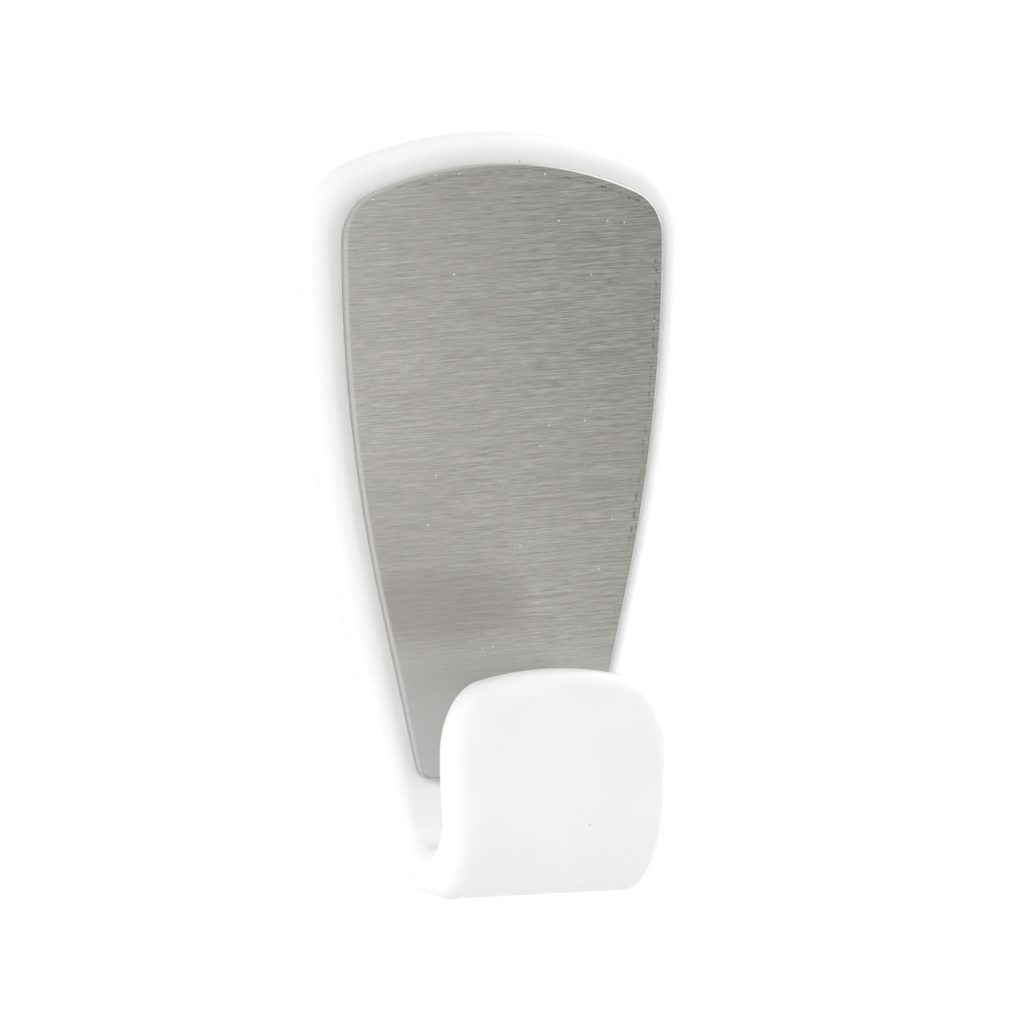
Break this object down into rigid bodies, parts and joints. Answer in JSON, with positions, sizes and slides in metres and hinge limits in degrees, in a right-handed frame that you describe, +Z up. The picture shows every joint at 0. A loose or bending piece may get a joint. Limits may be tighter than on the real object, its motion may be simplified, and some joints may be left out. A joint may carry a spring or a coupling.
{
  "type": "double suction cup hook",
  "caption": "Utility hook for smooth walls: a white moulded J-shaped hook with a tapered plate faced in brushed steel, held by soft clear suction cups behind the plate.",
  "frame": {"origin": "on the wall plane, on the centre line, midway between the centres of the upper and lower suction cups", "axes": "+Z up the wall, +Y into the wall, +X to the right as seen from the front; the hook's lip faces -Y"},
  "size_m": [0.0446, 0.0214, 0.079],
  "materials": {
    "white_plastic": "smooth satin moulding",
    "brushed_steel": "brushed crosswise",
    "adhesive_foam": "matte foam tape",
    "clear_soft_plastic": "clear and glossy"
  },
  "bodies": {
    "hook": {"hook_body": "white_plastic", "steel_face": "brushed_steel", "face_adhesive": "adhesive_foam"},
    "upper_cup": {"upper_suction_cup": "clear_soft_plastic"},
    "lower_cup": {"lower_suction_cup": "clear_soft_plastic"}
  },
  "joints": [
    {"name": "upper_cup_turn", "type": "hinge", "parent": "hook", "child": "upper_cup", "pos_m": [0, 0, 0.01575], "axis": [0, 1, 0], "continuous": true},
    {"name": "lower_cup_turn", "type": "hinge", "parent": "hook", "child": "lower_cup", "pos_m": [0, 0, -0.01575], "axis": [0, 1, 0], "continuous": true}
  ]
}
